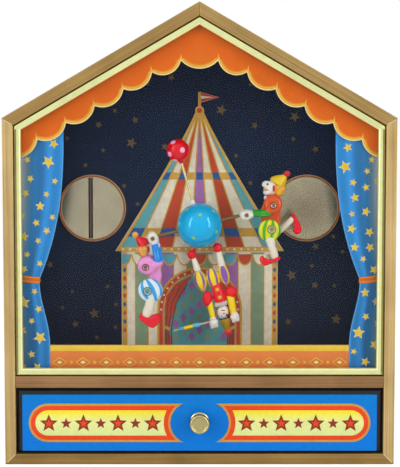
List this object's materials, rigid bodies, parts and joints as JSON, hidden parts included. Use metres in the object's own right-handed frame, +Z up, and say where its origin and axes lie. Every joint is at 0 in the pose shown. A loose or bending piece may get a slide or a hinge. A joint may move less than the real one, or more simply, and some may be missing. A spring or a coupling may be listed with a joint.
{
  "type": "wind-up display music box",
  "caption": "House-shaped wind-up music box with a glazed stage where jointed clowns turn on a ball in front of a mirrored backdrop, and a drawer below.",
  "frame": {"origin": "middle of the base board's underside", "axes": "+X to the right seen from the front, +Y towards the back with the winding key, +Z up"},
  "size_m": [0.216, 0.1092, 0.255],
  "materials": {
    "gold_wrap": "fibreboard wrapped in brushed gold foil, satin",
    "hardboard": "plain brown hardboard",
    "pine": "sawn softwood",
    "steel": "plain steel",
    "bezel_gold": "polished pale gold",
    "pane": "clear acrylic",
    "orange_card": "printed card, satin",
    "blue_card": "printed card, satin",
    "navy_board": "printed board, satin",
    "facade_print": "printed board, satin",
    "mirror": "soft mirror film",
    "brass": "polished brass",
    "zinc": "zinc casting",
    "ball_blue": "glossy moulded plastic with painted stars",
    "balloon_red": "glossy moulded plastic",
    "clown_left": "painted plastic",
    "clown_right": "painted plastic",
    "clown_tumbler": "painted plastic",
    "drawer_black": "black lacquer",
    "drawer_blue": "glossy printed plate",
    "plaque": "printed label"
  },
  "bodies": {
    "case": {"side_panel_left": "gold_wrap", "side_panel_right": "gold_wrap", "roof_panel_left": "gold_wrap", "roof_panel_right": "gold_wrap", "base_board": "gold_wrap", "middle_shelf": "gold_wrap", "back_panel": "hardboard", "case_cleats": "pine", "back_panel_screws": "steel", "window_bezel": "bezel_gold", "window_pane": "pane", "valance_card": "orange_card", "curtain_card_left": "blue_card", "curtain_card_right": "blue_card", "apron_card": "orange_card", "backdrop_board": "navy_board", "facade_panel": "facade_print", "mirror_discs": "mirror", "mirror_rims": "brass", "shaft_bush": "brass", "bedplate": "zinc", "movement_screws": "steel", "rear_bridge": "zinc", "music_comb": "steel"},
    "rotor": {"spring_barrel": "brass", "rotor_shaft": "steel", "ball": "ball_blue", "cross_bar": "bezel_gold", "pin_caps": "brass", "balloon_stick": "bezel_gold", "balloon": "balloon_red", "tumbler_legs": "clown_tumbler"},
    "cylinder": {"tune_cylinder": "brass"},
    "fly": {"governor_fly": "steel"},
    "key": {"spring_arbor": "steel", "winding_key": "bezel_gold"},
    "stop": {"stop_slider": "steel"},
    "drawer": {"drawer_front": "drawer_black", "drawer_plate": "drawer_blue", "plaques": "plaque", "drawer_knob": "brass", "knob_screw": "steel", "drawer_side_left": "pine", "drawer_side_right": "pine", "drawer_back": "pine", "drawer_bottom": "pine"},
    "left_arms": {"left_clown_arms": "clown_left"},
    "left_body": {"left_clown_body": "clown_left", "left_clown_rivets": "steel"},
    "left_near_leg": {"left_clown_near_leg": "clown_left"},
    "left_far_leg": {"left_clown_far_leg": "clown_left"},
    "right_arms": {"right_clown_arms": "clown_right"},
    "right_body": {"right_clown_body": "clown_right", "right_clown_rivets": "steel"},
    "right_near_leg": {"right_clown_near_leg": "clown_right"},
    "right_far_leg": {"right_clown_far_leg": "clown_right"},
    "tumbler": {"tumbler_body": "clown_tumbler"},
    "tumbler_left_arm": {"tumbler_arm_left": "clown_tumbler", "baton": "clown_tumbler"},
    "tumbler_right_arm": {"tumbler_arm_right": "clown_tumbler"}
  },
  "joints": [
    {"name": "rotor_turn", "type": "hinge", "parent": "case", "child": "rotor", "pos_m": [0, -0.02, 0.1316], "axis": [0, 1, 0], "continuous": true},
    {"name": "cylinder_turn", "type": "hinge", "parent": "case", "child": "cylinder", "pos_m": [0.0224, 0.01, 0.1316], "axis": [0, 1, 0], "continuous": true},
    {"name": "fly_turn", "type": "hinge", "parent": "case", "child": "fly", "pos_m": [0.0296, 0.01, 0.14407], "axis": [0, 1, 0], "continuous": true},
    {"name": "key_wind", "type": "hinge", "parent": "case", "child": "key", "pos_m": [0, 0.045, 0.1316], "axis": [0, 1, 0], "continuous": true},
    {"name": "stop_slide", "type": "slide", "parent": "case", "child": "stop", "axis": [-1, 0, 0], "range_m": [0, 0.004]},
    {"name": "drawer_slide", "type": "slide", "parent": "case", "child": "drawer", "axis": [0, -1, 0], "range_m": [0, 0.058]},
    {"name": "left_arms_swing", "type": "hinge", "parent": "rotor", "child": "left_arms", "pos_m": [-0.0262, -0.0256, 0.12507], "axis": [0, 1, 0], "range_deg": [-6, 70]},
    {"name": "left_body_swing", "type": "hinge", "parent": "left_arms", "child": "left_body", "pos_m": [-0.0301, -0.0256, 0.10907], "axis": [0, 1, 0], "range_deg": [-12, 4]},
    {"name": "left_near_leg_swing", "type": "hinge", "parent": "left_body", "child": "left_near_leg", "pos_m": [-0.0291, -0.029, 0.09557], "axis": [0, 1, 0], "range_deg": [-15, 60]},
    {"name": "left_far_leg_swing", "type": "hinge", "parent": "left_body", "child": "left_far_leg", "pos_m": [-0.0291, -0.0225, 0.09557], "axis": [0, 1, 0], "range_deg": [-15, 60]},
    {"name": "right_arms_swing", "type": "hinge", "parent": "rotor", "child": "right_arms", "pos_m": [0.0262, -0.0256, 0.13813], "axis": [0, 1, 0], "range_deg": [-45, 35]},
    {"name": "right_body_swing", "type": "hinge", "parent": "right_arms", "child": "right_body", "pos_m": [0.0411, -0.0256, 0.14363], "axis": [0, 1, 0], "range_deg": [-6, 12]},
    {"name": "right_near_leg_swing", "type": "hinge", "parent": "right_body", "child": "right_near_leg", "pos_m": [0.0401, -0.029, 0.13023], "axis": [0, 1, 0], "range_deg": [-60, 20]},
    {"name": "right_far_leg_swing", "type": "hinge", "parent": "right_body", "child": "right_far_leg", "pos_m": [0.0401, -0.0225, 0.13023], "axis": [0, 1, 0], "range_deg": [-20, 70]},
    {"name": "tumbler_body_swing", "type": "hinge", "parent": "rotor", "child": "tumbler", "pos_m": [0.00726, -0.02, 0.10249], "axis": [0.9703, 0, 0.2419], "range_deg": [-10, 10]},
    {"name": "tumbler_left_arm_swing", "type": "hinge", "parent": "tumbler", "child": "tumbler_left_arm", "pos_m": [0.01004, -0.02, 0.09133], "axis": [0.9703, 0, 0.2419], "range_deg": [-20, 20]},
    {"name": "tumbler_right_arm_swing", "type": "hinge", "parent": "tumbler", "child": "tumbler_right_arm", "pos_m": [0.01004, -0.02, 0.09133], "axis": [0.9703, 0, 0.2419], "range_deg": [-20, 20]}
  ],
  "couplings": [
    {"joint": "cylinder_turn", "follows": "rotor_turn", "ratio": -3},
    {"joint": "fly_turn", "follows": "rotor_turn", "ratio": 9}
  ]
}
